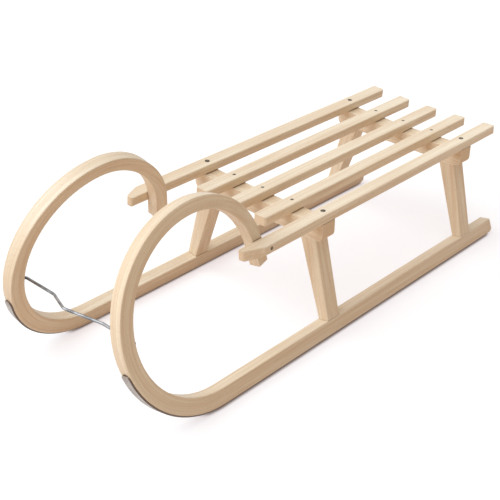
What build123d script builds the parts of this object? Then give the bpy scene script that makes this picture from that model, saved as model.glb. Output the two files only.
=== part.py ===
from build123d import *
import math
import os

os.makedirs("parts", exist_ok=True)

# Horned wooden sled. Millimetres, +X to the horns, +Y to the rider's left, +Z up, floor at Z = 0.

# Overall
OVERALL_LENGTH = 1000.0
SOLE_HALF_WIDTH = 186.7
CANT_DEG = 12.4

# Runners, each bent from one bar that is worked thinner towards the horn's tail
RUNNER_WIDTH = 24.5
RUNNER_HEIGHT = 29.5
RUNNER_EDGE_BEVEL = 1.2
RUNNER_REAR_SETBACK = 3.0
RUNNER_REAR_SLOPE = 6.0
RUNNER_NOSE_LENGTH = 8.0
RUNNER_NOSE_HEIGHT = 5.0
HORN_RADIUS = 178.5
HORN_TOP_RADIUS = 149.0
HORN_TOP_THICKNESS = 23.7
HORN_TAIL_TURN_DEG = 80.5
HORN_TAIL_DROP = 30.2
HORN_TAIL_LEAST_LENGTH = 5.0
HORN_TAIL_SPRING = 8.5
TAIL_NOTCH_DEPTH = 1.3

# Steel soles
STRIP_THICKNESS = 3.2
STRIP_INSET = 3.5
STRIP_CLIMB_DEG = 76.5
STRIP_TONGUE_ROUND = 8.0
STRIP_REAR_SETBACK = 4.0

# Seat slats
SLAT_WIDTH = 28.5
SLAT_THICKNESS = 17.5
SLAT_EDGE_ROUND = 2.5
SLAT_CORNER_ROUND = 4.5
SEAT_TOP_HEIGHT = 236.0
SEAT_DISH_RADIUS = 2240.0
SLAT_REAR_OVERHANG = 104.0
SLAT_FRONT_OVERHANG = 85.5
OUTER_SLAT_TIP_LENGTH = 52.0
OUTER_SLAT_CUT_LENGTH = 36.0
OUTER_SLAT_CUT_WIDTH = 15.0
SLATS_EACH_SIDE = 2

# Bolsters and legs
BOLSTER_SPACING = 432.5
BOLSTER_WIDTH = 33.0
BOLSTER_HEIGHT = 31.0
BOLSTER_END_ROUND = 13.0
BOLSTER_END_SETBACK = 0.5
LEG_WIDTH = 33.0
LEG_TOP_HALF_SPAN = 141.5
LEG_TOP_THICKNESS = 36.0
LEG_FOOT_SETBACK = 2.0
LEG_EDGE_ROUND = 2.5
TENON_THICKNESS = 12.0
TENON_WIDTH = 19.0
TENON_LENGTH = 16.0
JOINT_CLEARANCE = 0.3

# Tie rod between the horns
ROD_RADIUS = 2.5
ROD_END_BEND = 7.0
ROD_VEE_BEND = 9.0
ROD_SEAT_DEPTH = 12.0
ROD_SETBACK = 9.0
ROD_DROP = 7.0
ROD_VEE_HALF_WIDTH = 60.0
ROD_VEE_REACH = 27.0
ROD_VEE_RISE = 13.0

# Screw recesses
SCREW_HEAD_RADIUS = 3.5
SCREW_PILOT_RADIUS = 1.8
SCREW_PILOT_DEPTH = 8.0

# The canted frame of the left runner: u along +X, v up the cant, depth inward from the outer face
cant = math.radians(CANT_DEG)
cant_sin = math.sin(cant)
cant_cos = math.cos(cant)
sole_rise = (RUNNER_WIDTH - STRIP_INSET) * cant_sin
runner_plane = Plane(
    origin=(0, SOLE_HALF_WIDTH, sole_rise),
    x_dir=(1, 0, 0),
    z_dir=(0, -cant_cos, -cant_sin),
)


def canted_point(v, depth):
    """Y and Z of a point in the left runner's canted frame."""
    return (
        SOLE_HALF_WIDTH - v * cant_sin - depth * cant_cos,
        sole_rise + v * cant_cos - depth * cant_sin,
    )


# Stations along X
rear_x = -OVERALL_LENGTH / 2
horn_centre_u = OVERALL_LENGTH / 2 - HORN_RADIUS
tail_middle_x = horn_centre_u - HORN_TOP_RADIUS + HORN_TOP_THICKNESS / 2
rear_bolster_x = rear_x + SLAT_REAR_OVERHANG
front_bolster_x = rear_bolster_x + BOLSTER_SPACING
bolster_stations = {"rear": rear_bolster_x, "front": front_bolster_x}

# Heights
seat_underside = SEAT_TOP_HEIGHT - SLAT_THICKNESS
bolster_underside = seat_underside - BOLSTER_HEIGHT
runner_top_v = STRIP_THICKNESS + RUNNER_HEIGHT

# The outer slats stand where the horn tails are notched for their inner edges
slat_middle_v = (seat_underside + SLAT_THICKNESS / 2 - sole_rise) / cant_cos
tail_face_y = canted_point(slat_middle_v, HORN_TAIL_SPRING)[0]
outer_slat_y = tail_face_y - TAIL_NOTCH_DEPTH + SLAT_WIDTH / 2
slat_pitch = outer_slat_y / SLATS_EACH_SIDE


def dish_angle(step):
    """Tilt of the slat that lies a number of pitches from the middle."""
    return math.asin(step * slat_pitch / SEAT_DISH_RADIUS)


def dish_plane(step):
    """Plane of the bolster flat that carries one slat, its X along the sled."""
    tilt = dish_angle(step)
    return Plane(
        origin=(0, step * slat_pitch, seat_underside + SEAT_DISH_RADIUS * (1 - math.cos(tilt))),
        x_dir=(1, 0, 0),
        z_dir=(0, -math.sin(tilt), math.cos(tilt)),
    )


# Runner profile: foot, front bend, tighter top bend and straight tail that springs inward
horn_centre_v = STRIP_THICKNESS + HORN_RADIUS
horn_top_v = horn_centre_v + HORN_RADIUS
top_centre_v = horn_top_v - HORN_TOP_RADIUS
top_inner_radius = HORN_TOP_RADIUS - HORN_TOP_THICKNESS
hollow_radius = (horn_top_v - HORN_TOP_THICKNESS - runner_top_v) / 2
hollow_centre_v = runner_top_v + hollow_radius
tail_turn = math.radians(HORN_TAIL_TURN_DEG)
tail_start_v = top_centre_v + HORN_TOP_RADIUS * math.cos(tail_turn)
tail_below_slat = (tail_start_v - slat_middle_v + HORN_TAIL_DROP) / math.sin(tail_turn)
tail_length = max(tail_below_slat, HORN_TAIL_LEAST_LENGTH)
runner_rear_u = rear_x + RUNNER_REAR_SETBACK
nose_u = runner_rear_u + RUNNER_NOSE_LENGTH
tail_back = horn_centre_u - tail_middle_x
spring_radius = (tail_back**2 + HORN_TAIL_SPRING**2) / (2 * HORN_TAIL_SPRING)
spring_sweep_deg = math.degrees(math.asin((tail_back + 2 * HORN_TOP_THICKNESS) / spring_radius))


def tail_point(radius, run):
    """A point on the straight horn tail, at one radius from the top bend's centre."""
    return (
        horn_centre_u - radius * math.sin(tail_turn) - run * math.cos(tail_turn),
        top_centre_v + radius * math.cos(tail_turn) - run * math.sin(tail_turn),
    )


# Leg joints
leg_foot_thickness = RUNNER_WIDTH - LEG_FOOT_SETBACK
leg_foot_y, leg_foot_z = canted_point(runner_top_v, 0)
leg_lean = (leg_foot_y - LEG_TOP_HALF_SPAN) / (bolster_underside - leg_foot_z)
leg_top_middle_y = LEG_TOP_HALF_SPAN - LEG_TOP_THICKNESS / 2


def lower_tenon(length, clearance):
    """Outline in YZ of a leg's tenon in the runner, or of its mortise when given a clearance."""
    middle = leg_foot_thickness / 2
    half = TENON_THICKNESS / 2 + clearance
    return [
        canted_point(runner_top_v + clearance, middle - half),
        canted_point(runner_top_v + clearance, middle + half),
        canted_point(runner_top_v - length, middle + half),
        canted_point(runner_top_v - length, middle - half),
    ]


def upper_tenon(length, clearance):
    """Outline in YZ of a leg's tenon in the bolster, leaning with the leg."""
    half = TENON_THICKNESS / 2 + clearance
    return [
        (leg_top_middle_y + half + clearance * leg_lean, bolster_underside - clearance),
        (leg_top_middle_y - half + clearance * leg_lean, bolster_underside - clearance),
        (leg_top_middle_y - half - length * leg_lean, bolster_underside + length),
        (leg_top_middle_y + half - length * leg_lean, bolster_underside + length),
    ]


# Where the tie rod enters the hollow of the horn
rod_end_y, rod_z = canted_point(hollow_centre_v - ROD_DROP, RUNNER_WIDTH / 2)
hollow_x = horn_centre_u + math.sqrt(hollow_radius**2 - ROD_DROP**2)

# Tail of the left horn: cut to its profile, and between two wide arcs that carry it inward
with BuildPart() as horn_tail:
    with BuildSketch(runner_plane):
        with BuildLine():
            CenterArc((horn_centre_u, top_centre_v), HORN_TOP_RADIUS, 90, HORN_TAIL_TURN_DEG)
            CenterArc((horn_centre_u, top_centre_v), top_inner_radius, 90, HORN_TAIL_TURN_DEG)
            Polyline(
                tail_point(HORN_TOP_RADIUS, 0),
                tail_point(HORN_TOP_RADIUS, tail_length),
                tail_point(top_inner_radius, tail_length),
                tail_point(top_inner_radius, 0),
            )
            Line((horn_centre_u, horn_top_v), (horn_centre_u, horn_top_v - HORN_TOP_THICKNESS))
        make_face()
    extrude(amount=RUNNER_WIDTH + 2 * HORN_TAIL_SPRING)
    with BuildSketch(Plane(runner_plane.origin, x_dir=(1, 0, 0), z_dir=(0, cant_sin, -cant_cos))):
        with BuildLine():
            spring_centre = (horn_centre_u, spring_radius)
            outer_side = CenterArc(spring_centre, spring_radius, -90, -spring_sweep_deg)
            inner_side = CenterArc(spring_centre, spring_radius - RUNNER_WIDTH, -90, -spring_sweep_deg)
            Line(outer_side @ 0, inner_side @ 0)
            Line(outer_side @ 1, inner_side @ 1)
        make_face()
    extrude(amount=-horn_top_v - HORN_TOP_THICKNESS, mode=Mode.INTERSECT)

# Left runner with its curled horn
with BuildPart() as runner_left:
    with BuildSketch(runner_plane):
        with BuildLine():
            Polyline(
                (horn_centre_u, STRIP_THICKNESS),
                (nose_u, STRIP_THICKNESS),
                (runner_rear_u, STRIP_THICKNESS + RUNNER_NOSE_HEIGHT),
                (runner_rear_u + RUNNER_REAR_SLOPE, runner_top_v),
                (horn_centre_u, runner_top_v),
            )
            CenterArc((horn_centre_u, horn_centre_v), HORN_RADIUS, -90, 180)
            CenterArc((horn_centre_u, hollow_centre_v), hollow_radius, -90, 180)
            Line((horn_centre_u, horn_top_v), (horn_centre_u, horn_top_v - HORN_TOP_THICKNESS))
        make_face()
    extrude(amount=RUNNER_WIDTH)
    add(horn_tail.part)
    side_faces = runner_left.faces().filter_by(
        lambda face: abs(face.normal_at(face.center()).dot(runner_plane.z_dir)) > cant_cos
    )
    arrises = side_faces.edges().filter_by(
        lambda edge: abs(edge.center().X - horn_centre_u) > RUNNER_EDGE_BEVEL
    )
    chamfer(arrises, length=RUNNER_EDGE_BEVEL)
    # Mortises for the two legs
    for station in bolster_stations.values():
        with BuildSketch(Plane.YZ.offset(station)):
            with BuildLine():
                Polyline(*lower_tenon(TENON_LENGTH + JOINT_CLEARANCE, JOINT_CLEARANCE), close=True)
            make_face()
        extrude(amount=TENON_WIDTH / 2 + JOINT_CLEARANCE, both=True, mode=Mode.SUBTRACT)
    # Notch in the tail that houses the inner edge of the outer slat
    with BuildSketch(dish_plane(SLATS_EACH_SIDE)):
        with Locations((tail_middle_x, 0)):
            Rectangle(HORN_TOP_RADIUS, SLAT_WIDTH)
    extrude(amount=SLAT_THICKNESS + JOINT_CLEARANCE, mode=Mode.SUBTRACT)
    # Blind hole for the end of the tie rod
    with BuildSketch(Plane.YZ.offset(hollow_x - ROD_RADIUS)):
        with Locations((rod_end_y, rod_z)):
            Circle(ROD_RADIUS + JOINT_CLEARANCE / 2)
    extrude(amount=ROD_RADIUS + ROD_SEAT_DEPTH + JOINT_CLEARANCE, mode=Mode.SUBTRACT)

# Left steel sole, climbing the front of the horn to a round tongue
strip_rear_u = nose_u + STRIP_REAR_SETBACK
with BuildPart() as sole_left:
    with BuildSketch(runner_plane.offset(STRIP_INSET)):
        with BuildLine():
            Polyline(
                (horn_centre_u, 0),
                (strip_rear_u, 0),
                (strip_rear_u, STRIP_THICKNESS),
                (horn_centre_u, STRIP_THICKNESS),
            )
            outer_climb = CenterArc(
                (horn_centre_u, horn_centre_v), HORN_RADIUS + STRIP_THICKNESS, -90, STRIP_CLIMB_DEG
            )
            inner_climb = CenterArc((horn_centre_u, horn_centre_v), HORN_RADIUS, -90, STRIP_CLIMB_DEG)
            Line(outer_climb @ 1, inner_climb @ 1)
        make_face()
    extrude(amount=RUNNER_WIDTH - 2 * STRIP_INSET)
    tongue_corners = sole_left.edges().filter_by(
        lambda edge: abs(edge.length - STRIP_THICKNESS) < JOINT_CLEARANCE
    ).sort_by(Axis.X)[-2:]
    fillet(tongue_corners, radius=STRIP_TONGUE_ROUND)

# Left legs, shouldered on the runner and under the bolster
legs_left = {}
for place, station in bolster_stations.items():
    with BuildPart() as leg:
        with BuildSketch(Plane.YZ.offset(station)):
            with BuildLine():
                Polyline(
                    (leg_foot_y, leg_foot_z),
                    (LEG_TOP_HALF_SPAN, bolster_underside),
                    (LEG_TOP_HALF_SPAN - LEG_TOP_THICKNESS, bolster_underside),
                    canted_point(runner_top_v, leg_foot_thickness),
                    close=True,
                )
            make_face()
        extrude(amount=LEG_WIDTH / 2, both=True)
        fillet(leg.edges().sort_by(SortBy.LENGTH)[-4:], radius=LEG_EDGE_ROUND)
        for outline in (lower_tenon(TENON_LENGTH, 0), upper_tenon(TENON_LENGTH, 0)):
            with BuildSketch(Plane.YZ.offset(station)):
                with BuildLine():
                    Polyline(*outline, close=True)
                make_face()
            extrude(amount=TENON_WIDTH / 2, both=True)
    legs_left[place] = leg

# Bolsters, each with a flat for every slat along its dished top and two leaning mortises
bolster_half = outer_slat_y + SLAT_WIDTH / 2 - BOLSTER_END_SETBACK
outer_flat = dish_plane(SLATS_EACH_SIDE).origin
bolster_end_z = outer_flat.Z + (bolster_half - outer_flat.Y) * math.tan(dish_angle(SLATS_EACH_SIDE))
flat_joins = []
for step in range(-SLATS_EACH_SIDE, SLATS_EACH_SIDE):
    mean_tilt = (dish_angle(step) + dish_angle(step + 1)) / 2
    reach = SEAT_DISH_RADIUS / math.cos((dish_angle(step + 1) - dish_angle(step)) / 2)
    join_y = reach * math.sin(mean_tilt)
    join_z = seat_underside + SEAT_DISH_RADIUS - reach * math.cos(mean_tilt)
    flat_joins.append((join_y, join_z))

bolsters = {}
for place, station in bolster_stations.items():
    with BuildPart() as bolster:
        with BuildSketch(Plane.YZ.offset(station)) as section:
            with BuildLine():
                Polyline(
                    (-bolster_half, bolster_underside),
                    (-bolster_half, bolster_end_z),
                    *flat_joins,
                    (bolster_half, bolster_end_z),
                    (bolster_half, bolster_underside),
                    close=True,
                )
            make_face()
            fillet(section.vertices().sort_by(Axis.Y)[:2], radius=BOLSTER_END_ROUND)
        extrude(amount=BOLSTER_WIDTH / 2, both=True)
        for side in (1, -1):
            with BuildSketch(Plane.YZ.offset(station)):
                with BuildLine():
                    outline = upper_tenon(TENON_LENGTH + JOINT_CLEARANCE, JOINT_CLEARANCE)
                    Polyline(*[(side * y, z) for y, z in outline], close=True)
                make_face()
            extrude(amount=TENON_WIDTH / 2 + JOINT_CLEARANCE, both=True, mode=Mode.SUBTRACT)
    bolsters[place] = bolster

# Seat slats: steps from the middle, and names from the rider's right to left
slat_steps = {
    "slat_right_outer": -2,
    "slat_right_inner": -1,
    "slat_middle": 0,
    "slat_left_inner": 1,
    "slat_left_outer": 2,
}
inner_front_x = front_bolster_x + SLAT_FRONT_OVERHANG
outer_front_x = tail_middle_x + OUTER_SLAT_TIP_LENGTH
half_slat = SLAT_WIDTH / 2
slats = {}
for slat_name, step in slat_steps.items():
    flat = dish_plane(step)
    side = math.copysign(1, step)
    is_outer = abs(step) == SLATS_EACH_SIDE
    front_x = outer_front_x if is_outer else inner_front_x
    cut_length = OUTER_SLAT_CUT_LENGTH if is_outer else 0
    cut_width = OUTER_SLAT_CUT_WIDTH if is_outer else 0
    with BuildPart() as slat:
        with BuildSketch(Plane(flat.origin + Vector(rear_x, 0, 0), x_dir=flat.y_dir, z_dir=(1, 0, 0))):
            with Locations((0, SLAT_THICKNESS / 2)):
                RectangleRounded(SLAT_WIDTH, SLAT_THICKNESS, SLAT_EDGE_ROUND)
        extrude(amount=front_x - rear_x)
        with BuildSketch(flat) as plan:
            with BuildLine():
                corners = [
                    (rear_x, -half_slat * side),
                    (front_x, -half_slat * side),
                    (front_x, (half_slat - cut_width) * side),
                    (rear_x, half_slat * side),
                ]
                if is_outer:
                    corners.insert(3, (front_x - cut_length, half_slat * side))
                Polyline(*corners, close=True)
            make_face()
            fillet(plan.vertices(), radius=SLAT_CORNER_ROUND)
        extrude(amount=SLAT_THICKNESS, mode=Mode.INTERSECT)
        # Countersunk screws down into the bolsters
        for station in bolster_stations.values():
            with Locations(flat.offset(SLAT_THICKNESS) * Location((station, 0, 0))):
                CounterSinkHole(SCREW_PILOT_RADIUS, SCREW_HEAD_RADIUS, depth=SCREW_PILOT_DEPTH)
        # The outer slats also take a screw from the side into the horn's tail
        if is_outer:
            edge_middle = flat.origin + flat.y_dir * half_slat * side + flat.z_dir * SLAT_THICKNESS / 2
            screw_seat = edge_middle + Vector(tail_middle_x, 0, 0)
            with Locations(Plane(screw_seat, x_dir=(1, 0, 0), z_dir=flat.y_dir * side)):
                CounterSinkHole(SCREW_PILOT_RADIUS, SCREW_HEAD_RADIUS, depth=SCREW_PILOT_DEPTH)
    slats[slat_name] = slat

# Tie rod between the horns, its ends turned into them and its middle bent forward to a vee
rod_x = hollow_x - ROD_SETBACK
rod_end_x = hollow_x + ROD_SEAT_DEPTH
with BuildPart() as tie_rod:
    with BuildLine() as rod_path:
        FilletPolyline(
            (rod_end_x, rod_end_y, rod_z),
            (rod_x, rod_end_y, rod_z),
            (rod_x, ROD_VEE_HALF_WIDTH, rod_z),
            (rod_x + ROD_VEE_REACH, 0, rod_z + ROD_VEE_RISE),
            (rod_x, -ROD_VEE_HALF_WIDTH, rod_z),
            (rod_x, -rod_end_y, rod_z),
            (rod_end_x, -rod_end_y, rod_z),
            radius=[ROD_END_BEND, ROD_VEE_BEND, ROD_VEE_BEND, ROD_VEE_BEND, ROD_END_BEND],
        )
    with BuildSketch(Plane.YZ.offset(rod_end_x)):
        with Locations((rod_end_y, rod_z)):
            Circle(ROD_RADIUS)
    sweep(path=rod_path.wires()[0])

# Right-hand pieces are the mirror of the left
with BuildPart() as runner_right:
    mirror(runner_left.part, about=Plane.XZ)
with BuildPart() as sole_right:
    mirror(sole_left.part, about=Plane.XZ)
legs_right = {}
for place, leg in legs_left.items():
    with BuildPart() as leg_twin:
        mirror(leg.part, about=Plane.XZ)
    legs_right[place] = leg_twin

# Hand the pieces out
pieces = {
    "runner_left": runner_left,
    "runner_right": runner_right,
    "sole_left": sole_left,
    "sole_right": sole_right,
    "tie_rod": tie_rod,
}
for place in bolster_stations:
    pieces[f"bolster_{place}"] = bolsters[place]
    pieces[f"leg_{place}_left"] = legs_left[place]
    pieces[f"leg_{place}_right"] = legs_right[place]
pieces.update(slats)

for piece_name, piece in pieces.items():
    piece.part.label = piece_name
    export_step(piece.part, f"parts/{piece_name}.step")
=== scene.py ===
import math

import bmesh
import bpy
from mathutils import Matrix, Quaternion, Vector


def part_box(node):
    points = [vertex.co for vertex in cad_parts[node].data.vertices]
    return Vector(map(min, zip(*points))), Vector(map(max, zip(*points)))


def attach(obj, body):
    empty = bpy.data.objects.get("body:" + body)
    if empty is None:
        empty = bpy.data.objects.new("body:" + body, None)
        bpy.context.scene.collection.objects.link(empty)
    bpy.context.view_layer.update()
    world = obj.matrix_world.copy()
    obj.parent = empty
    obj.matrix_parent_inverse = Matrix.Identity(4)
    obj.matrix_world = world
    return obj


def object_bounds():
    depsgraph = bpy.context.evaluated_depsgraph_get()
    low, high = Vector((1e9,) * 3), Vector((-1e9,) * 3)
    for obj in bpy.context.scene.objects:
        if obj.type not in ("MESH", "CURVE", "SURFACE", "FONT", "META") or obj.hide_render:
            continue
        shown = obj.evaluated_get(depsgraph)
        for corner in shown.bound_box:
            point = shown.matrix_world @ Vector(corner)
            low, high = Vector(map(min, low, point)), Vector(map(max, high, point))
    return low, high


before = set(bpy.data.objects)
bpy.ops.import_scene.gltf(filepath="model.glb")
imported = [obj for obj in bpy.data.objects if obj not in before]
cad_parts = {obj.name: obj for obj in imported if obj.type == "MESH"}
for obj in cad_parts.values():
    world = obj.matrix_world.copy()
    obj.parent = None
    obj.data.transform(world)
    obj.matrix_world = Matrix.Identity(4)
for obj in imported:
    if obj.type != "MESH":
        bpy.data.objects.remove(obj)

cad_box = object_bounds()

# Sizes of the sled that the looks follow, in metres
SOLE_HALF_WIDTH = 0.1867
CANT = math.radians(12.4)
RUNNER_WIDTH = 0.0245
STRIP_INSET = 0.0035
STRIP_THICKNESS = 0.0032
HORN_RADIUS = 0.1785
HORN_TOP_RADIUS = 0.149
HORN_TOP_THICKNESS = 0.0237
SLAT_WIDTH = 0.0285
SLAT_THICKNESS = 0.0175
SEAT_DISH_RADIUS = 2.24

# Places worked out from them, in the runner's canted plane where they end in u and v
sole_rise = (RUNNER_WIDTH - STRIP_INSET) * math.sin(CANT)
bend_centre_u = cad_box[1].x - HORN_RADIUS
bend_centre_v = STRIP_THICKNESS + HORN_RADIUS
tail_middle_x = bend_centre_u - HORN_TOP_RADIUS + HORN_TOP_THICKNESS / 2

# Screws
HEAD_RADIUS = 0.0033
OUTER_HEAD_RADIUS = 0.0047
HEAD_SUNK = 0.0003
OUTER_HEAD_PROUD = 0.0004
HEAD_SKIRT = 0.0015
HEAD_SIDES = 32
CROSS_REACH = 0.0019
CROSS_HALF_WIDTH = 0.00045
CROSS_DEPTH = 0.0012
CROSS_FLOOR_SHARE = 0.6
# Where the painted shade on a screw head's rim starts and where it is full
HEAD_BRIGHT_REACH = 0.0012
HEAD_DARK_REACH = 0.0030
SCREW_TURN_STEP = 1.1
REAR_SCREW_TURN = 0.4
TAIL_SCREW_TURN = 0.7

# Wood colours
BEECH_PALE = (0.84, 0.74, 0.58, 1)
BEECH_WARM = (0.72, 0.56, 0.385, 1)
BEECH_FLECK = (0.55, 0.38, 0.23, 1)
BEECH_END = (0.72, 0.57, 0.41, 1)
# Paler beech along the arrises: wear, and a painted highlight
BEECH_WORN_AND_LIT = (0.88, 0.78, 0.63, 1)
# Painted shade in the narrow corners where pieces meet
JOINT_SHADE = (0.36, 0.235, 0.125, 1)

# Wood grain: repeats in a metre along the grain and both ways across it
CLOUD_REPEATS = (3.5, 28, 28)
STREAK_REPEATS = (6, 260, 260)
GROWTH_REPEATS = (2.2, 95, 95)
FIBRE_REPEATS = (60, 1500, 1500)
FLECK_REPEATS = (240, 1300, 900)
PORE_REPEATS = (400, 900, 900)
RING_REPEATS = (1, 330, 120)
GRAIN_BEND_RADIUS = 0.165
GRAIN_SHIFT = 7.0

# Wood grain: how much of each pattern shows
STREAK_SHARE = 0.62
GROWTH_SHARE = 0.35
CLOUD_SHARE = 0.30
FLECK_SHARE = 0.45
FIBRE_RELIEF = 0.6
STREAK_RELIEF = 0.4

# Ranges that a mask runs over, from none to full
WARM_RANGE = (0.44, 0.80)
FLECK_RANGE = (0.66, 0.78)
END_PORE_RANGE = (0.14, 0.34)
END_CUT_RANGE = (0.72, 0.9)
EDGE_MATCH_RANGE = (0.995, 0.86)
OPEN_CORNER_RANGE = (0.75, 0.25)
BRIGHT_STEEL_RANGE = (0.3, 0.7)
STRIP_SIDE_RANGE = (0.5, 0.8)

# Ranges of a pattern, then the roughness at each end of it
WOOD_ROUGHNESS_RANGE = (0.2, 1.6, 0.40, 0.72)
STEEL_ROUGHNESS_RANGE = (0.25, 0.75, 0.48, 0.28)

# Edges, corners and relief
# How much of the paler edge colour shows: wear, and on beech a painted highlight
EDGE_WEAR_AND_HIGHLIGHT = 0.6
EDGE_SAMPLES = 6
JOINT_SHADE_REACH = 0.007
JOINT_SHADE_SAMPLES = 8
WOOD_EDGE_RADIUS = 0.0013
WOOD_BUMP_DISTANCE = 0.00025
WOOD_BUMP_STRENGTH = 0.35
STEEL_EDGE_RADIUS = 0.0003
STEEL_BUMP_DISTANCE = 0.0001
STEEL_BUMP_STRENGTH = 0.25

# Steel
DRAWN_LINE_REPEATS = (25, 1800, 1800)
SMEAR_REPEATS = (45, 70, 70)
DRAWN_LINE_SHARE = 0.4
SMEAR_SHARE = 0.6
SOLE_BRIGHT = (0.50, 0.44, 0.39, 1)
SOLE_DULL = (0.29, 0.245, 0.215, 1)
# Painted shade for the sole strip's side faces, also used on its end faces
SOLE_SIDE_AND_END_DARK = (0.16, 0.118, 0.095, 1)
ROD_BRIGHT = (0.42, 0.41, 0.41, 1)
ROD_DULL = (0.080, 0.078, 0.080, 1)
ROD_END = (0.035, 0.022, 0.014, 1)
ROD_END_PLACE = 0.137
ROD_END_DARK_LENGTH = 0.009
SCREW_BRIGHT = (0.40, 0.32, 0.22, 1)
# SCREW_DULL is also the painted shade at a screw head's rim
SCREW_DULL = (0.075, 0.053, 0.037, 1)
STEEL_WORN = (0.46, 0.44, 0.42, 1)

# Camera
CAMERA_PLACE = Vector((1.29834, 1.12743, 1.08808))
CAMERA_AIM = Vector((0.08442, 0.06636, 0.150))
CAMERA_ROLL = math.radians(1.70)
CAMERA_LENS = 75.40
CAMERA_SENSOR = 36
CAMERA_SHIFT = (-0.0418, 0.0014)

# Light
SUN_FROM = Vector((0.55, -0.28, 0.80))
SUN_STRENGTH = 3.22
SUN_SOFTNESS = math.radians(70)
SUN_COLOUR = (0.855, 0.925, 1.0)
AMBIENT = 0.41
AMBIENT_COLOUR = (1.0, 0.85, 0.70, 1)
WHITE = (1, 1, 1, 1)

# Floor
FLOOR_HALF = 9.0
FLOOR_CELLS = 4
FLOOR_DROP = 0.0004
FLOOR_BOUNCE = (0.73, 0.55, 0.42, 1)
FLOOR_SHADED = (0.42, 0.47, 0.45, 1)
FLOOR_GLOW = (0.64, 0.585, 0.615, 1)
# Painted contact shadow on the floor right beside the sled, and how far it reaches
FLOOR_PAINTED_SHADOW = (0.10, 0.06, 0.05, 1)
FLOOR_PAINTED_SHADOW_REACH = 0.009


class NodeSheet:
    """A node tree with short ways to add nodes, join them and do sums."""

    def __init__(self, tree):
        self.tree = tree

    def add(self, kind, **settings):
        node = self.tree.nodes.new(kind)
        for setting, value in settings.items():
            setattr(node, setting, value)
        return node

    def feed(self, socket, source):
        """Links a socket to another node's output, or sets it to a plain value."""
        if isinstance(source, bpy.types.NodeSocket):
            self.tree.links.new(source, socket)
        else:
            socket.default_value = source

    def sum(self, operation, *sources):
        node = self.add("ShaderNodeMath", operation=operation)
        for socket, source in zip(node.inputs, sources):
            self.feed(socket, source)
        return node.outputs[0]

    def dot(self, first, second):
        node = self.add("ShaderNodeVectorMath", operation="DOT_PRODUCT")
        self.feed(node.inputs[0], first)
        self.feed(node.inputs[1], second)
        return node.outputs["Value"]

    def vector(self, x, y, z):
        node = self.add("ShaderNodeCombineXYZ")
        for socket, source in zip(node.inputs, (x, y, z)):
            self.feed(socket, source)
        return node.outputs[0]

    def split(self, source):
        node = self.add("ShaderNodeSeparateXYZ")
        self.feed(node.inputs[0], source)
        return node.outputs

    def noise(self, source, repeats, detail, roughness=0.55, distortion=0.0):
        """Soft noise over coordinates that are stretched to a number of repeats in a metre."""
        stretched = self.add("ShaderNodeVectorMath", operation="MULTIPLY")
        self.feed(stretched.inputs[0], source)
        self.feed(stretched.inputs[1], repeats)
        node = self.add("ShaderNodeTexNoise")
        self.feed(node.inputs["Vector"], stretched.outputs[0])
        self.feed(node.inputs["Scale"], 1.0)
        self.feed(node.inputs["Detail"], detail)
        self.feed(node.inputs["Roughness"], roughness)
        self.feed(node.inputs["Distortion"], distortion)
        return node.outputs["Fac"]

    def band(self, source, low, high, out_low=0.0, out_high=1.0):
        """Maps a value smoothly from one range to another."""
        node = self.add("ShaderNodeMapRange", interpolation_type="SMOOTHSTEP")
        for socket, value in zip(node.inputs, (source, low, high, out_low, out_high)):
            self.feed(socket, value)
        return node.outputs[0]

    def blend(self, share, first, second):
        node = self.add("ShaderNodeMix", data_type="RGBA")
        self.feed(node.inputs["Factor"], share)
        colours = [socket for socket in node.inputs if socket.type == "RGBA"]
        self.feed(colours[0], first)
        self.feed(colours[1], second)
        return next(socket for socket in node.outputs if socket.type == "RGBA")

    def group(self, tree, **sources):
        """Places a node group, each source on the input of its name."""
        node = self.add("ShaderNodeGroup", node_tree=tree)
        for name, source in sources.items():
            self.feed(node.inputs[name], source)
        return node.outputs


def new_group(name, inputs, outputs):
    """A node group with its sockets, each given as name and kind, and a default for an input."""
    tree = bpy.data.node_groups.new(name, "ShaderNodeTree")
    for socket_name, kind, default in inputs:
        socket = tree.interface.new_socket(socket_name, in_out="INPUT", socket_type=kind)
        socket.default_value = default
    for socket_name, kind in outputs:
        tree.interface.new_socket(socket_name, in_out="OUTPUT", socket_type=kind)
    sheet = NodeSheet(tree)
    return sheet, sheet.add("NodeGroupInput").outputs, sheet.add("NodeGroupOutput").inputs


def canted_coordinates():
    """Place and surface normal in the runner's own plane: along, up the cant, and across."""
    sheet, _, out = new_group(
        "canted coordinates",
        [],
        [("Place", "NodeSocketVector"), ("Normal", "NodeSocketVector")],
    )
    sine, cosine = math.sin(CANT), math.cos(CANT)
    coordinates = sheet.add("ShaderNodeTexCoord").outputs
    x, y, z = sheet.split(coordinates["Object"])
    inward = sheet.sum("SUBTRACT", SOLE_HALF_WIDTH, sheet.sum("ABSOLUTE", y))
    up = sheet.sum("SUBTRACT", z, sole_rise)
    v = sheet.sum("ADD", sheet.sum("MULTIPLY", up, cosine), sheet.sum("MULTIPLY", inward, sine))
    depth = sheet.sum("SUBTRACT", sheet.sum("MULTIPLY", inward, cosine), sheet.sum("MULTIPLY", up, sine))
    sheet.feed(out["Place"], sheet.vector(x, v, depth))
    nx, ny, nz = sheet.split(coordinates["Normal"])
    outward = sheet.sum("MULTIPLY", ny, sheet.sum("SIGN", y))
    n_up = sheet.sum("SUBTRACT", sheet.sum("MULTIPLY", nz, cosine), sheet.sum("MULTIPLY", outward, sine))
    sheet.feed(out["Normal"], sheet.vector(nx, n_up, outward))
    return sheet.tree


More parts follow.
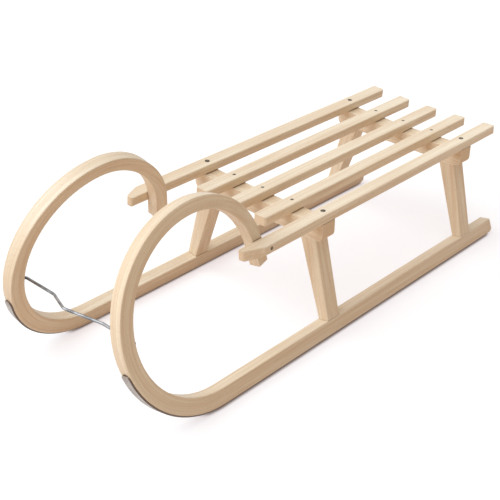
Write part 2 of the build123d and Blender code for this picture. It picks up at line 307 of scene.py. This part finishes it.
def bent_bar_grain(canted):
    """Coordinates that run along the bent runner, and how squarely a face cuts its grain."""
    sheet, _, out = new_group(
        "bent bar grain",
        [],
        [("Along", "NodeSocketVector"), ("End", "NodeSocketFloat")],
    )
    placed = sheet.group(canted)
    u, v, depth = sheet.split(placed["Place"])
    ahead = sheet.sum("SUBTRACT", u, bend_centre_u)
    above = sheet.sum("SUBTRACT", v, bend_centre_v)
    foot = sheet.sum(
        "MULTIPLY",
        sheet.sum("LESS_THAN", ahead, 0.0),
        sheet.sum("LESS_THAN", above, 0.0),
    )
    curl = sheet.sum("SUBTRACT", 1.0, foot)

    def choose(on_foot, on_bend):
        return sheet.sum(
            "ADD", sheet.sum("MULTIPLY", on_foot, foot), sheet.sum("MULTIPLY", on_bend, curl)
        )

    turned = sheet.sum("ADD", sheet.sum("ARCTAN2", above, ahead), math.pi / 2)
    bend_run = sheet.sum("MULTIPLY", turned, GRAIN_BEND_RADIUS)
    bend_reach = sheet.sum("SQRT", sheet.sum(
        "ADD", sheet.sum("MULTIPLY", ahead, ahead), sheet.sum("MULTIPLY", above, above)
    ))
    run = choose(ahead, bend_run)
    reach = choose(sheet.sum("MULTIPLY", above, -1.0), bend_reach)
    sheet.feed(out["Along"], sheet.vector(run, reach, depth))
    nu, nv, _ = sheet.split(placed["Normal"])
    across = sheet.sum("SUBTRACT", sheet.sum("MULTIPLY", nv, ahead), sheet.sum("MULTIPLY", nu, above))
    bend_cut = sheet.sum("DIVIDE", across, bend_reach)
    cut = sheet.sum("ABSOLUTE", choose(nu, bend_cut))
    sheet.feed(out["End"], sheet.band(cut, *END_CUT_RANGE))
    return sheet.tree


def straight_grain():
    """Grain along one level axis of the sled, given as a vector, for slats, bolsters and rod."""
    sheet, given, out = new_group(
        "straight grain",
        [("Axis", "NodeSocketVector", (1, 0, 0))],
        [("Along", "NodeSocketVector"), ("End", "NodeSocketFloat")],
    )
    coordinates = sheet.add("ShaderNodeTexCoord").outputs
    run = sheet.dot(coordinates["Object"], given["Axis"])
    x, y, z = sheet.split(coordinates["Object"])
    across = sheet.sum("SUBTRACT", sheet.sum("ADD", x, y), run)
    sheet.feed(out["Along"], sheet.vector(run, across, z))
    cut = sheet.sum("ABSOLUTE", sheet.dot(coordinates["Normal"], given["Axis"]))
    sheet.feed(out["End"], sheet.band(cut, *END_CUT_RANGE))
    return sheet.tree


def beech():
    """Planed beech: soft streaks, growth bands, short ray flecks and its own end grain."""
    sheet, given, out = new_group(
        "beech",
        [
            ("Along", "NodeSocketVector", (0, 0, 0)),
            ("End", "NodeSocketFloat", 0.0),
            ("Shift", "NodeSocketFloat", 0.0),
        ],
        [("Color", "NodeSocketColor"), ("Roughness", "NodeSocketFloat"), ("Height", "NodeSocketFloat")],
    )
    moved = sheet.add("ShaderNodeVectorMath", operation="ADD")
    sheet.feed(moved.inputs[0], given["Along"])
    sheet.feed(moved.inputs[1], sheet.vector(given["Shift"], given["Shift"], given["Shift"]))
    along = moved.outputs[0]
    cloud = sheet.noise(along, CLOUD_REPEATS, detail=2.0)
    streak = sheet.noise(along, STREAK_REPEATS, detail=4.0, roughness=0.65, distortion=0.4)
    growth = sheet.noise(along, GROWTH_REPEATS, detail=1.5, distortion=0.8)
    fibre = sheet.noise(along, FIBRE_REPEATS, detail=2.0)
    fleck = sheet.noise(along, FLECK_REPEATS, detail=0.0)
    pores = sheet.noise(along, PORE_REPEATS, detail=1.0)
    rings = sheet.noise(along, RING_REPEATS, detail=2.0)
    grained = sheet.sum(
        "ADD",
        sheet.sum("MULTIPLY", streak, STREAK_SHARE),
        sheet.sum(
            "ADD", sheet.sum("MULTIPLY", growth, GROWTH_SHARE), sheet.sum("MULTIPLY", cloud, CLOUD_SHARE)
        ),
    )
    side_tone = sheet.blend(sheet.band(grained, *WARM_RANGE), BEECH_PALE, BEECH_WARM)
    fleck_mask = sheet.sum("MULTIPLY", sheet.band(fleck, *FLECK_RANGE), FLECK_SHARE)
    flecked = sheet.blend(fleck_mask, side_tone, BEECH_FLECK)
    open_pores = sheet.band(sheet.sum("MULTIPLY", pores, rings), *END_PORE_RANGE)
    end_tone = sheet.blend(open_pores, BEECH_END, BEECH_WARM)
    sheet.feed(out["Color"], sheet.blend(given["End"], flecked, end_tone))
    coarse = sheet.sum("ADD", streak, given["End"])
    sheet.feed(out["Roughness"], sheet.band(coarse, *WOOD_ROUGHNESS_RANGE))
    relief = sheet.sum(
        "ADD", sheet.sum("MULTIPLY", fibre, FIBRE_RELIEF), sheet.sum("MULTIPLY", streak, STREAK_RELIEF)
    )
    sheet.feed(out["Height"], relief)
    return sheet.tree


def eased_edge():
    """A normal rounded over at the arrises, and a mask of where they are."""
    sheet, given, out = new_group(
        "eased edge",
        [("Radius", "NodeSocketFloat", WOOD_EDGE_RADIUS)],
        [("Normal", "NodeSocketVector"), ("Edge", "NodeSocketFloat")],
    )
    rounded = sheet.add("ShaderNodeBevel", samples=EDGE_SAMPLES)
    sheet.feed(rounded.inputs["Radius"], given["Radius"])
    match = sheet.dot(rounded.outputs[0], sheet.add("ShaderNodeNewGeometry").outputs["Normal"])
    sheet.feed(out["Normal"], rounded.outputs[0])
    sheet.feed(out["Edge"], sheet.band(match, *EDGE_MATCH_RANGE))
    return sheet.tree


def joint_shade():
    """A mask of the narrow corners where pieces meet, where shade is painted in."""
    sheet, given, out = new_group(
        "joint shade",
        [("Reach", "NodeSocketFloat", JOINT_SHADE_REACH)],
        [("Mask", "NodeSocketFloat")],
    )
    openness = sheet.add("ShaderNodeAmbientOcclusion", samples=JOINT_SHADE_SAMPLES)
    sheet.feed(openness.inputs["Distance"], given["Reach"])
    sheet.feed(out["Mask"], sheet.band(openness.outputs["AO"], *OPEN_CORNER_RANGE))
    return sheet.tree


def brushed_metal():
    """Fine drawn lines and faint handling marks for steel."""
    sheet, given, out = new_group(
        "brushed metal",
        [
            ("Along", "NodeSocketVector", (0, 0, 0)),
            ("Bright", "NodeSocketColor", SOLE_BRIGHT),
            ("Dull", "NodeSocketColor", SOLE_DULL),
        ],
        [("Color", "NodeSocketColor"), ("Roughness", "NodeSocketFloat"), ("Height", "NodeSocketFloat")],
    )
    lines = sheet.noise(given["Along"], DRAWN_LINE_REPEATS, detail=3.0)
    smear = sheet.noise(given["Along"], SMEAR_REPEATS, detail=3.0)
    mixed = sheet.sum(
        "ADD", sheet.sum("MULTIPLY", lines, DRAWN_LINE_SHARE), sheet.sum("MULTIPLY", smear, SMEAR_SHARE)
    )
    polish = sheet.band(mixed, *BRIGHT_STEEL_RANGE)
    sheet.feed(out["Color"], sheet.blend(polish, given["Dull"], given["Bright"]))
    sheet.feed(out["Roughness"], sheet.band(mixed, *STEEL_ROUGHNESS_RANGE))
    sheet.feed(out["Height"], lines)
    return sheet.tree


canted_group = canted_coordinates()
bent_grain_group = bent_bar_grain(canted_group)
straight_grain_group = straight_grain()
beech_group = beech()
eased_edge_group = eased_edge()
joint_shade_group = joint_shade()
brushed_group = brushed_metal()


def new_material(name):
    """An empty material and the sheet of its nodes."""
    material = bpy.data.materials.new(name)
    material.use_nodes = True
    material.node_tree.nodes.clear()
    return material, NodeSheet(material.node_tree)


def grain_along_x(sheet):
    grain = sheet.group(straight_grain_group, Axis=(1, 0, 0))
    return grain["Along"], grain["End"]


def grain_along_y(sheet):
    grain = sheet.group(straight_grain_group, Axis=(0, 1, 0))
    return grain["Along"], grain["End"]


def grain_round_the_horn(sheet):
    grain = sheet.group(bent_grain_group)
    return grain["Along"], grain["End"]


def grain_up_the_leg(sheet):
    placed = sheet.group(canted_group)
    u, v, depth = sheet.split(placed["Place"])
    _, n_up, _ = sheet.split(placed["Normal"])
    end = sheet.band(sheet.sum("ABSOLUTE", n_up), *END_CUT_RANGE)
    return sheet.vector(v, u, depth), end


def edge_tone_and_bump(sheet, finish, colour, edge_colour, edge_radius, distance, strength):
    """Base colour paler along the edges, for wear and on beech also a painted highlight, and a normal
    with eased edges and the finish's relief.
    """
    eased = sheet.group(eased_edge_group, Radius=edge_radius)
    wear_and_highlight_share = sheet.sum("MULTIPLY", eased["Edge"], EDGE_WEAR_AND_HIGHLIGHT)
    bump = sheet.add("ShaderNodeBump")
    sheet.feed(bump.inputs["Strength"], strength)
    sheet.feed(bump.inputs["Distance"], distance)
    sheet.feed(bump.inputs["Height"], finish["Height"])
    sheet.feed(bump.inputs["Normal"], eased["Normal"])
    return sheet.blend(wear_and_highlight_share, colour, edge_colour), bump.outputs[0]


def show(sheet, colour, roughness, normal, metallic):
    """Ends a material with its surface shader."""
    surface = sheet.add("ShaderNodeBsdfPrincipled")
    sheet.feed(surface.inputs["Metallic"], metallic)
    sheet.feed(surface.inputs["Base Color"], colour)
    sheet.feed(surface.inputs["Roughness"], roughness)
    sheet.feed(surface.inputs["Normal"], normal)
    sheet.feed(sheet.add("ShaderNodeOutputMaterial").inputs["Surface"], surface.outputs[0])


def beech_material(name, lay_grain):
    """Beech whose grain follows one kind of piece."""
    material, sheet = new_material(name)
    along, end = lay_grain(sheet)
    piece_share = sheet.add("ShaderNodeObjectInfo").outputs["Random"]
    shift = sheet.sum("MULTIPLY", piece_share, GRAIN_SHIFT)
    finish = sheet.group(beech_group, Along=along, End=end, Shift=shift)
    # Painted shade darkens the wood in the narrow corners where pieces meet
    shade = sheet.group(joint_shade_group, Reach=JOINT_SHADE_REACH)["Mask"]
    joint_shaded_colour = sheet.blend(shade, finish["Color"], JOINT_SHADE)
    colour, normal = edge_tone_and_bump(
        sheet, finish, joint_shaded_colour, BEECH_WORN_AND_LIT, WOOD_EDGE_RADIUS, WOOD_BUMP_DISTANCE, WOOD_BUMP_STRENGTH
    )
    show(sheet, colour, finish["Roughness"], normal, metallic=0.0)
    return material


def steel_material(name, lay_grain, bright, dull, darken_where):
    """Drawn steel, darkened where the given rule says: painted shade on the strip's sides and the screw
    heads' rims, and a darker band at the rod's ends.
    """
    material, sheet = new_material(name)
    along, _ = lay_grain(sheet)
    finish = sheet.group(brushed_group, Along=along, Bright=bright, Dull=dull)
    darkened = darken_where(sheet, finish["Color"])
    colour, normal = edge_tone_and_bump(
        sheet, finish, darkened, STEEL_WORN, STEEL_EDGE_RADIUS, STEEL_BUMP_DISTANCE, STEEL_BUMP_STRENGTH
    )
    show(sheet, colour, finish["Roughness"], normal, metallic=1.0)
    return material


def dark_rod_ends(sheet, colour):
    """The rod is darker where it turns into the horns."""
    _, y, _ = sheet.split(sheet.add("ShaderNodeTexCoord").outputs["Object"])
    darker_end = sheet.band(sheet.sum("ABSOLUTE", y), ROD_END_PLACE - ROD_END_DARK_LENGTH, ROD_END_PLACE)
    return sheet.blend(darker_end, colour, ROD_END)


def darken_strip_sides_and_ends(sheet, colour):
    """The sole strip's side faces are painted dark, a painted shade for the shadowed floor and gap
    beside them, and its end faces are dark too.
    """
    _, _, outward = sheet.split(sheet.group(canted_group)["Normal"])
    side = sheet.band(sheet.sum("ABSOLUTE", outward), *STRIP_SIDE_RANGE)
    end = sheet.group(bent_grain_group)["End"]
    return sheet.blend(sheet.sum("MAXIMUM", side, end), colour, SOLE_SIDE_AND_END_DARK)


def shade_head_rim(sheet, colour):
    """A screw head is lighter in the middle and painted darker towards its rim, a painted shade for the
    shadow of a counterbore round it.
    """
    x, y, _ = sheet.split(sheet.add("ShaderNodeTexCoord").outputs["Object"])
    reach = sheet.sum("SQRT", sheet.sum("ADD", sheet.sum("MULTIPLY", x, x), sheet.sum("MULTIPLY", y, y)))
    return sheet.blend(sheet.band(reach, HEAD_BRIGHT_REACH, HEAD_DARK_REACH), colour, SCREW_DULL)


slat_beech = beech_material("beech slat", grain_along_x)
bolster_beech = beech_material("beech bolster", grain_along_y)
leg_beech = beech_material("beech leg", grain_up_the_leg)
runner_beech = beech_material("beech runner", grain_round_the_horn)
sole_steel = steel_material("sole steel", grain_round_the_horn, SOLE_BRIGHT, SOLE_DULL, darken_strip_sides_and_ends)
rod_steel = steel_material("rod steel", grain_along_y, ROD_BRIGHT, ROD_DULL, dark_rod_ends)
screw_steel = steel_material("screw steel", grain_along_x, SCREW_BRIGHT, SCREW_DULL, shade_head_rim)

# Finishes by the start of a node's name
node_finishes = {
    "slat_": slat_beech,
    "bolster_": bolster_beech,
    "leg_": leg_beech,
    "runner_": runner_beech,
    "sole_": sole_steel,
    "tie_rod": rod_steel,
}
for node_name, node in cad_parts.items():
    finish = next(f for start, f in node_finishes.items() if node_name.startswith(start))
    for material_slot in node.material_slots:
        material_slot.material = finish


def cross_outline(reach, half_width, height):
    """Twelve corners of a cross recess, going round."""
    quarter = [(reach, -half_width), (reach, half_width), (half_width, half_width)]
    return [
        Vector((x * c - y * s, x * s + y * c, height))
        for c, s in ((1, 0), (0, 1), (-1, 0), (0, -1))
        for x, y in quarter
    ]


def circle(radius, height):
    """Points round a screw head."""
    return [
        Vector((radius * math.cos(turn), radius * math.sin(turn), height))
        for turn in (2 * math.pi * i / HEAD_SIDES for i in range(HEAD_SIDES))
    ]


def loop_of(mesh, points):
    """New vertices in a ring, and the edges that close it."""
    ring = [mesh.verts.new(point) for point in points]
    edges = [mesh.edges.new((a, b)) for a, b in zip(ring, ring[1:] + ring[:1])]
    return ring, edges


def wall_between(mesh, upper, lower):
    """Faces that join two rings of as many vertices."""
    for i in range(len(upper)):
        j = (i + 1) % len(upper)
        mesh.faces.new((upper[i], lower[i], lower[j], upper[j]))


def screw(name, seat, outward, turn, radius, rise):
    """A screw head with a cross recess, its face a little under or over the wood."""
    mesh = bmesh.new()
    rim, rim_edges = loop_of(mesh, circle(radius, 0.0))
    cross, cross_edges = loop_of(mesh, cross_outline(CROSS_REACH, CROSS_HALF_WIDTH, 0.0))
    bmesh.ops.triangle_fill(mesh, edges=rim_edges + cross_edges, use_beauty=True)
    floor_points = cross_outline(
        CROSS_REACH * CROSS_FLOOR_SHARE, CROSS_HALF_WIDTH * CROSS_FLOOR_SHARE, -CROSS_DEPTH
    )
    cross_floor = [mesh.verts.new(point) for point in floor_points]
    wall_between(mesh, cross, cross_floor)
    mesh.faces.new(cross_floor)
    skirt = [mesh.verts.new(point) for point in circle(radius - HEAD_SKIRT, -HEAD_SKIRT)]
    wall_between(mesh, rim, skirt)
    mesh.faces.new(skirt)
    bmesh.ops.recalc_face_normals(mesh, faces=mesh.faces)
    data = bpy.data.meshes.new(name)
    mesh.to_mesh(data)
    mesh.free()
    data.materials.append(screw_steel)
    head = bpy.data.objects.new(name, data)
    bpy.context.collection.objects.link(head)
    facing = outward.to_track_quat("Z", "X") @ Quaternion((0, 0, 1), turn)
    head.matrix_world = Matrix.Translation(seat + outward * rise) @ facing.to_matrix().to_4x4()
    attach(head, "root")


def middle(node):
    low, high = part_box(node)
    return (Vector(low) + Vector(high)) / 2


# Screws down through each slat into the bolsters, and from the side into the horn tails
slat_names = [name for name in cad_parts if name.startswith("slat_")]
for index, slat_name in enumerate(sorted(slat_names)):
    centre = middle(slat_name)
    tilt = math.asin(centre.y / SEAT_DISH_RADIUS)
    up = Vector((0, -math.sin(tilt), math.cos(tilt)))
    is_outer = slat_name.endswith("outer")
    radius = OUTER_HEAD_RADIUS if is_outer else HEAD_RADIUS
    rise = OUTER_HEAD_PROUD if is_outer else -HEAD_SUNK
    front_turn = index * SCREW_TURN_STEP
    for place, turn in (("front", front_turn), ("rear", front_turn + REAR_SCREW_TURN)):
        seat = Vector((middle(f"bolster_{place}").x, centre.y, centre.z)) + up * SLAT_THICKNESS / 2
        screw(f"screw_{slat_name}_{place}", seat, up, turn, radius, rise)
    if is_outer:
        side = math.copysign(1, centre.y)
        outward = Vector((0, math.cos(tilt), math.sin(tilt))) * side
        seat = Vector((tail_middle_x, centre.y, centre.z)) + outward * SLAT_WIDTH / 2
        screw(f"screw_{slat_name}_tail", seat, outward, TAIL_SCREW_TURN, HEAD_RADIUS, -HEAD_SUNK)


def seen_directly(sheet):
    """One for camera, mirror and glass rays, zero for the light that falls on the sled."""
    path = sheet.add("ShaderNodeLightPath").outputs
    seen = sheet.sum("MAXIMUM", path["Is Camera Ray"], path["Is Glossy Ray"])
    return sheet.sum("MAXIMUM", seen, path["Is Transmission Ray"])


def pale_floor():
    """Floor paint that shows near white, keeps the sled's shadow, has a painted contact shadow right
    beside the sled, and sends back plain light.
    """
    material, sheet = new_material("pale floor")
    bouncing = sheet.add("ShaderNodeBsdfDiffuse")
    sheet.feed(bouncing.inputs["Color"], FLOOR_BOUNCE)
    shaded = sheet.add("ShaderNodeBsdfDiffuse")
    sheet.feed(shaded.inputs["Color"], FLOOR_SHADED)
    # Painted contact shadow: the floor's glow turns dark where the sled stands close
    painted_contact_shadow = sheet.group(joint_shade_group, Reach=FLOOR_PAINTED_SHADOW_REACH)["Mask"]
    glow = sheet.add("ShaderNodeEmission")
    sheet.feed(glow.inputs["Color"], sheet.blend(painted_contact_shadow, FLOOR_GLOW, FLOOR_PAINTED_SHADOW))
    pale = sheet.add("ShaderNodeAddShader")
    sheet.feed(pale.inputs[0], shaded.outputs[0])
    sheet.feed(pale.inputs[1], glow.outputs[0])
    paint = sheet.add("ShaderNodeMixShader")
    sheet.feed(paint.inputs[0], seen_directly(sheet))
    sheet.feed(paint.inputs[1], bouncing.outputs[0])
    sheet.feed(paint.inputs[2], pale.outputs[0])
    sheet.feed(sheet.add("ShaderNodeOutputMaterial").inputs["Surface"], paint.outputs[0])
    return material


# Floor
floor_mesh = bmesh.new()
bmesh.ops.create_grid(floor_mesh, x_segments=FLOOR_CELLS, y_segments=FLOOR_CELLS, size=FLOOR_HALF)
floor_data = bpy.data.meshes.new("floor")
floor_mesh.to_mesh(floor_data)
floor_mesh.free()
floor_data.materials.append(pale_floor())
floor = bpy.data.objects.new("floor", floor_data)
floor.location.z = -FLOOR_DROP
bpy.context.collection.objects.link(floor)

# Light
world = bpy.data.worlds.new("studio")
world.use_nodes = True
world.node_tree.nodes.clear()
world_sheet = NodeSheet(world.node_tree)
in_view = seen_directly(world_sheet)
sky = world_sheet.add("ShaderNodeBackground")
world_sheet.feed(sky.inputs["Color"], world_sheet.blend(in_view, AMBIENT_COLOUR, WHITE))
world_sheet.feed(sky.inputs["Strength"], world_sheet.band(in_view, 0.0, 1.0, AMBIENT, 1.0))
world_sheet.feed(world_sheet.add("ShaderNodeOutputWorld").inputs["Surface"], sky.outputs[0])
bpy.context.scene.world = world

sun_data = bpy.data.lights.new("soft key", "SUN")
sun_data.energy = SUN_STRENGTH
sun_data.angle = SUN_SOFTNESS
sun_data.color = SUN_COLOUR
sun = bpy.data.objects.new("soft key", sun_data)
sun.rotation_euler = SUN_FROM.to_track_quat("Z", "Y").to_euler()
bpy.context.collection.objects.link(sun)

# Camera
camera_data = bpy.data.cameras.new("camera")
camera_data.sensor_width = CAMERA_SENSOR
camera_data.lens = CAMERA_LENS
camera_data.shift_x, camera_data.shift_y = CAMERA_SHIFT
camera = bpy.data.objects.new("camera", camera_data)
camera.location = CAMERA_PLACE
look = (CAMERA_AIM - CAMERA_PLACE).to_track_quat("-Z", "Y")
camera.rotation_euler = (look @ Quaternion((0, 0, 1), CAMERA_ROLL)).to_euler()
bpy.context.collection.objects.link(camera)
bpy.context.scene.camera = camera
bpy.context.scene.view_settings.view_transform = "Standard"
